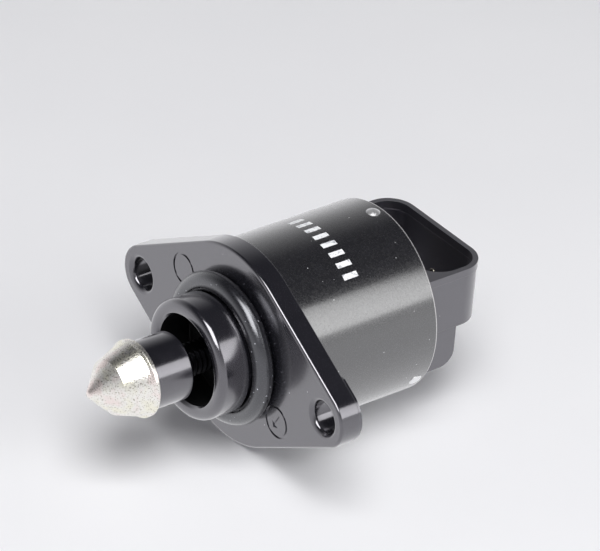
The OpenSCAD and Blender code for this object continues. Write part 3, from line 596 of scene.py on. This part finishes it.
def treeMesh(name, mesh, tree, values):
    # runs a Geometry Nodes tree over a mesh with the named inputs set, and gives back the plain result
    holder = newObject("holder", mesh)
    modifier = holder.modifiers.new("tree", "NODES")
    modifier.node_group = tree
    for item in tree.interface.items_tree:
        if item.in_out == "INPUT" and item.name in values:
            modifier[item.identifier] = values[item.name]
    result = plainResult(holder)
    result.name = name
    return result


def emptyTree(name, inputs):
    # a Geometry Nodes group with geometry in and out, and the named inputs between
    tree = bpy.data.node_groups.new(name, "GeometryNodeTree")
    tree.is_modifier = True
    tree.interface.new_socket("Geometry", in_out="INPUT", socket_type="NodeSocketGeometry")
    for label, kind in inputs.items():
        tree.interface.new_socket(label, in_out="INPUT", socket_type="NodeSocket" + kind)
    tree.interface.new_socket("Geometry", in_out="OUTPUT", socket_type="NodeSocketGeometry")
    return tree, addNode(tree, "NodeGroupInput").outputs


def ringOfCopies(name, mesh, mat, count, firstDegrees, stepDegrees):
    # sets copies of a mesh out round the valve's axis, one angle step apart
    tree, given = emptyTree(name + "Tree", {
        "Count": "Int", "First Angle": "Float", "Angle Step": "Float", "Finish": "Material"})
    places = addNode(tree, "GeometryNodePoints", {"Count": given["Count"]})
    index = addNode(tree, "GeometryNodeInputIndex")
    turned = addNode(tree, "ShaderNodeMath", {0: index, 1: given["Angle Step"], 2: given["First Angle"]},
                     operation="MULTIPLY_ADD")
    about = addNode(tree, "ShaderNodeCombineXYZ", {"X": turned})
    spin = addNode(tree, "FunctionNodeEulerToRotation", {0: about})
    copies = addNode(tree, "GeometryNodeInstanceOnPoints", {
        "Points": places, "Instance": given["Geometry"], "Rotation": spin})
    real = addNode(tree, "GeometryNodeRealizeInstances", {0: copies})
    dressed = addNode(tree, "GeometryNodeSetMaterial", {"Geometry": real, "Material": given["Finish"]})
    addNode(tree, "NodeGroupOutput", {0: dressed})
    return treeMesh(name, mesh, tree, {"Count": count, "First Angle": math.radians(firstDegrees),
                                       "Angle Step": math.radians(stepDegrees), "Finish": mat})


# rivets hold can and end cap together: one is turned here and set out three times
rivet = dict(count=3, station=29.6, seat=17.455, head=1.25, height=0.47, crown=0.37, dimple=0.35, dimpleDepth=0.12,
             shank=0.75, shankLength=2.6, steps=8)


def rivetMesh():
    # a domed head with a dimple in its crown, on a plain shank, standing along +Z
    seat, head, foot = rivet["seat"], rivet["head"], rivet["seat"] - rivet["shankLength"]
    sphere = (head ** 2 + rivet["crown"] ** 2) / (2 * rivet["crown"])
    centre = seat + rivet["height"] - sphere
    radii = [head + (rivet["dimple"] - head) * k / rivet["steps"] for k in range(rivet["steps"] + 1)]
    dome = [(r, centre + math.sqrt(sphere ** 2 - r * r), 0) for r in radii]
    outline = softened([(0, foot, 0), (rivet["shank"], foot, 0.2), (rivet["shank"], seat, 0.02), (head, seat, 0.02)]
                       + dome + [(0, dome[-1][1] - rivet["dimpleDepth"], 0)])
    mesh = lathe("rivet", outline, 48)
    mesh.transform(Matrix.Translation((rivet["station"] * mm, 0, 0)) @ Matrix.Rotation(-math.pi / 2, 4, "Y"))
    return mesh


rivetRing = ringOfCopies("rivetRing", rivetMesh(), rivetAluminium, rivet["count"], 0, 360 / rivet["count"])
finishPiece("rivetRing", rivetRing, rivetAluminium, "housing", ("can_rivets",), 50)

# plain bars of ink, one step apart round the can's front half
printed = dict(count=8, station=17.0, length=3.0, width=1.05, first=-18.0, step=7.7, sunk=0.05, proud=0.03, strips=6)


def barMesh():
    # a thin patch bent to the can, with its foot just under the enamel
    bm = bmesh.new()
    half, strips = printed["width"] / 2 / can["radius"], printed["strips"]
    rows = []
    for radius in (can["radius"] - printed["sunk"], can["radius"] + printed["proud"]):
        for end in (-1, 1):
            x = printed["station"] + end * printed["length"] / 2
            rows.append([bm.verts.new((x * mm, radius * mm * math.sin(a), radius * mm * math.cos(a)))
                         for a in [half * (2 * k / strips - 1) for k in range(strips + 1)]])
    for low, high in ((rows[0], rows[1]), (rows[2], rows[3]), (rows[0], rows[2]), (rows[1], rows[3])):
        for k in range(strips):
            bm.faces.new((low[k], low[k + 1], high[k + 1], high[k]))
    for k in (0, strips):
        bm.faces.new((rows[0][k], rows[1][k], rows[3][k], rows[2][k]))
    return meshFrom(bm, "bar")


def padPrintInk():
    # pad-printed white ink: chalky, a little thin in places
    mat, tree, where = newMaterial("padPrintedInk")
    thin = noise(tree, where, 0.6, detail=3.0)
    cover = addNode(tree, "ShaderNodeMapRange", {0: thin, 1: 0.3, 2: 0.5})
    colour = blend(tree, cover, "#a9aab0", "#eff0f2")
    rough = between(tree, thin, 0.45, 0.65)
    return surfaced(mat, {"Base Color": colour, "Roughness": rough})


ink = padPrintInk()
bars = ringOfCopies("printedBars", barMesh(), ink, printed["count"], printed["first"], printed["step"])
finishPiece("printedBars", bars, ink, "housing", (), 50)
print("rivets and bars made")

# each coil's outer layer is one helix of wire, laid on a core of the layers below
coil = dict(wire=0.5, outer=13.2, inner=10.77, ends=[(8.27, 14.83), (18.57, 25.13)], perTurn=72, around=8, nested=1.3)


def woundCoil(name, x0, x1):
    tree, given = emptyTree(name + "Tree", {
        "Turns": "Float", "Radius": "Float", "Length": "Float", "Wire": "Float", "Finish": "Material"})
    helix = addNode(tree, "GeometryNodeCurveSpiral", {
        "Resolution": coil["perTurn"], "Rotations": given["Turns"], "Start Radius": given["Radius"],
        "End Radius": given["Radius"], "Height": given["Length"]})
    section = addNode(tree, "GeometryNodeCurvePrimitiveCircle", {"Resolution": coil["around"], "Radius": given["Wire"]})
    wire = addNode(tree, "GeometryNodeCurveToMesh", {"Curve": helix, "Profile Curve": section, "Fill Caps": True})
    laid = addNode(tree, "GeometryNodeTransform", {"Geometry": wire, "Rotation": (0, math.pi / 2, 0)})
    both = addNode(tree, "GeometryNodeJoinGeometry", {0: laid})
    tree.links.new(given["Geometry"], both.inputs[0])
    real = addNode(tree, "GeometryNodeRealizeInstances", {0: both})
    dressed = addNode(tree, "GeometryNodeSetMaterial", {"Geometry": real, "Material": given["Finish"]})
    addNode(tree, "NodeGroupOutput", {0: dressed})
    r = coil["wire"] / 2
    under = coil["outer"] - coil["nested"] * r
    core = lathe(name + "Core", softened([(coil["inner"], 0, 0.05), (under, 0, 0.2), (under, x1 - x0, 0.2),
                                          (coil["inner"], x1 - x0, 0.05)]), 96)
    made = treeMesh(name, core, tree, {
        "Turns": (x1 - x0 - coil["wire"]) / coil["wire"], "Radius": (coil["outer"] - r) * mm,
        "Length": (x1 - x0 - coil["wire"]) * mm, "Wire": r * mm, "Finish": coilCopper})
    made.transform(Matrix.Translation((x0 * mm, 0, 0)))
    return made


for label, (start, end) in zip(("front", "rear"), coil["ends"]):
    finishPiece(label + "Coil", woundCoil(label + "Coil", start, end), coilCopper, "housing",
                ("winding_" + label,), 60)
print("coils made")

# CAD pieces whose shape stays take their finish here
finishes = dict(
    front_seal=rubber, rear_seal=rubber, bearing_outer_ring=raceSteel, bearing_inner_ring=raceSteel,
    bearing_balls=ballSteel, bearing_cage=cageBrass, bearing_retainer=springSteel, rotor_hub=hubPolyester,
    rotor_magnet=ferrite, rear_bush=bushBronze, preload_washer=springSteel, stator_cup_front=poleSteel,
    stator_plate_front=poleSteel, stator_plate_rear=poleSteel, stator_cup_rear=poleSteel, bobbin_front=hubPolyester,
    bobbin_rear=hubPolyester, coil_pins_front=tinnedBrass, coil_pins_rear=tinnedBrass)
for node, mat in finishes.items():
    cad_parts[node].data.materials.clear()
    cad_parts[node].data.materials.append(mat)

table = dict(height=-18.6, size=4000, thick=10, light="#f2f2f4", dark="#ebebee")


def paleTable():
    # matt white board: near white, with a very faint mottle; glossy plastic mirrors it without its shadows
    mat, tree, where = newMaterial("paleBoard")
    mottle = noise(tree, where, 60, detail=3.0)
    colour = blend(tree, mottle, table["dark"], table["light"])
    lit = addNode(tree, "ShaderNodeBsdfPrincipled", {"Base Color": colour, "Roughness": 0.7})
    shown = addNode(tree, "ShaderNodeEmission", {"Color": colour, "Strength": 1.0})
    glossy = addNode(tree, "ShaderNodeLightPath").outputs["Is Glossy Ray"]
    both = addNode(tree, "ShaderNodeMixShader", {0: glossy, 1: lit, 2: shown})
    addNode(tree, "ShaderNodeOutputMaterial", {"Surface": both})
    return mat


half = table["size"] / 2
square = [(-half, -half), (half, -half), (half, half), (-half, half)]
tableMesh = loft("tableTop", [(0, square), (table["thick"], square)])
tableMesh.transform(Matrix.Translation((0, 0, table["height"] * mm)) @ Matrix.Rotation(math.pi / 2, 4, "Y"))
tableMesh.materials.append(paleTable())
tableTop = newObject("tableTop", tableMesh)

# a dim room above the horizon and a pale one below, so that glossy black plastic shows the lamps alone
room = dict(above="#303034", below="#eaeaec", low=0.02, high=0.75)
world = bpy.data.worlds.new("studio")
bpy.context.scene.world = world
world.use_nodes = True
sky = world.node_tree
sky.nodes.clear()
facing = addNode(sky, "ShaderNodeTexCoord").outputs["Generated"]
upwards = addNode(sky, "ShaderNodeSeparateXYZ", {0: facing}).outputs["Z"]
toDark = addNode(sky, "ShaderNodeMapRange", {0: upwards, 1: room["low"], 2: room["high"]})
dusk = blend(sky, toDark, room["below"], room["above"])
addNode(sky, "ShaderNodeOutputWorld", {0: addNode(sky, "ShaderNodeBackground", {"Color": dusk, "Strength": 1.0})})

softboxes = dict(  # direction from the valve, distance, width, height (mm) and brightness
    side=((0.418, -0.787, 0.454), 700, 350, 375, 2.15),
    above=((-0.25, -0.38, 0.89), 800, 520, 680, 6.0))
for label, (direction, distance, width, height, brightness) in softboxes.items():
    lamp = bpy.data.lights.new(label + "Softbox", "AREA")
    lamp.shape, lamp.size, lamp.size_y = "RECTANGLE", width * mm, height * mm
    lamp.energy = brightness * math.pi * width * height * mm * mm
    holder = newObject(label + "Softbox", lamp)
    holder.location = Vector(direction).normalized() * distance * mm
    holder.rotation_euler = Vector(direction).to_track_quat("Z", "Y").to_euler()
    holder.visible_camera = False

view = dict(lens=279.7, sensor=36, nearest=0.05, farthest=20, place=(-417.98, -525.49, 437.25),
            right=(0.79650, -0.60093, 0.06683), up=(0.27613, 0.45986, 0.84397), back=(-0.53790, -0.65376, 0.53222))
camera = newObject("camera", bpy.data.cameras.new("camera"))
camera.data.lens, camera.data.sensor_width = view["lens"], view["sensor"]
camera.data.clip_start, camera.data.clip_end = view["nearest"], view["farthest"]
turned = Matrix((view["right"], view["up"], view["back"])).transposed().to_4x4()
camera.matrix_world = Matrix.Translation(Vector(view["place"]) * mm) @ turned
bpy.context.scene.camera = camera
bpy.context.scene.view_settings.view_transform = "Standard"
